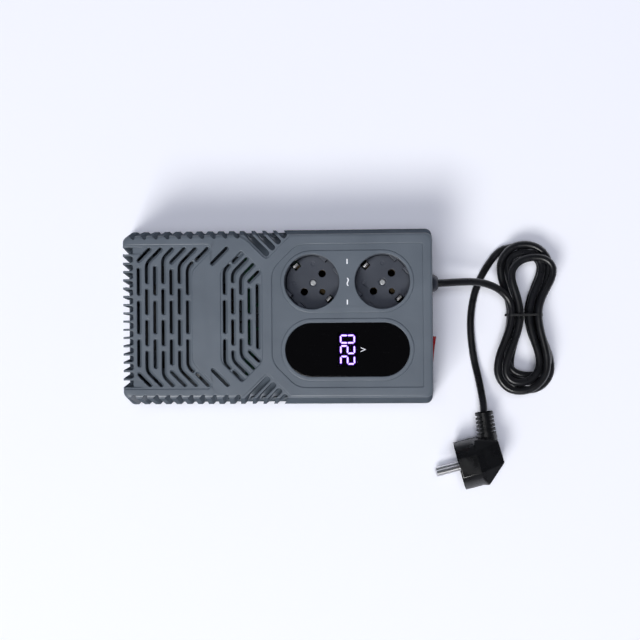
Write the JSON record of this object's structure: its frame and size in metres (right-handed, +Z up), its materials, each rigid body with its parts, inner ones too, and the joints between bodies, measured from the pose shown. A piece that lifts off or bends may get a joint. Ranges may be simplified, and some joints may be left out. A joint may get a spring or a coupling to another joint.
{
  "type": "voltage stabilizer",
  "caption": "Desktop mains voltage stabilizer: tapered vented case, recessed grounded sockets, lit display window, rocker switch, tied mains cord with angled plug.",
  "frame": {"origin": "middle of the case's base outline, on the floor under the feet", "axes": "+X along the case towards the switch and the cord gland, +Y towards the sockets, +Z up"},
  "size_m": [0.3353, 0.204, 0.08],
  "materials": {
    "case_grey": "matte",
    "socket_dark": "satin",
    "black_plastic": "satin",
    "smoked_window": "gloss",
    "rubber_black": "matte",
    "steel": "satin",
    "brass_tin": "satin",
    "red_rocker": "gloss",
    "lit_violet": "lit",
    "board_green": "satin",
    "relay_black": "gloss",
    "cap_blue": "gloss",
    "chip_black": "matte",
    "heatsink_black": "matte",
    "coil_yellow": "satin",
    "terminal_green": "satin",
    "fuse_glass": "gloss",
    "core_steel": "matte",
    "black_steel": "satin",
    "bobbin_black": "matte",
    "copper": "satin",
    "wire_brown": "satin",
    "wire_blue": "satin",
    "wire_black": "satin"
  },
  "bodies": {
    "case": {"top_cover": "case_grey", "base_tray": "case_grey", "rubber_feet": "rubber_black", "case_screws": "steel", "display_window": "smoked_window", "display_board": "board_green", "digit_module": "chip_black", "lit_digits": "lit_violet", "socket_body_left": "socket_dark", "socket_body_right": "socket_dark", "earth_straps": "steel", "socket_contacts": "brass_tin", "socket_screws": "steel", "main_board": "board_green", "board_screws": "steel", "relays": "relay_black", "capacitors": "cap_blue", "controller_chip": "chip_black", "regulator": "chip_black", "heatsink": "heatsink_black", "sense_transformer": "coil_yellow", "terminal_block": "terminal_green", "fuse_clips": "brass_tin", "glass_fuse": "fuse_glass", "transformer_core": "core_steel", "transformer_bobbin": "bobbin_black", "transformer_winding": "copper", "transformer_bracket": "black_steel", "transformer_screws": "steel", "switch_housing": "black_plastic", "switch_terminals": "brass_tin", "cord_gland": "black_plastic", "cord_sheath": "rubber_black", "cord_clamp": "black_plastic", "clamp_screws": "steel", "cord_wires": "wire_brown", "switch_wires": "wire_brown", "socket_wires": "wire_blue", "transformer_leads": "wire_black", "cord_lead": "rubber_black", "cord_hank": "rubber_black", "cord_tail": "rubber_black", "cord_tie": "black_plastic", "plug_body": "rubber_black", "plug_pins": "steel", "plug_earth_strips": "steel"},
    "rocker": {"switch_rocker": "red_rocker"}
  },
  "joints": [
    {"name": "rocker_pivot", "type": "hinge", "parent": "case", "child": "rocker", "pos_m": [0.11399, -0.0249, 0.042], "axis": [0, 0, 1], "range_deg": [0, 14]}
  ]
}
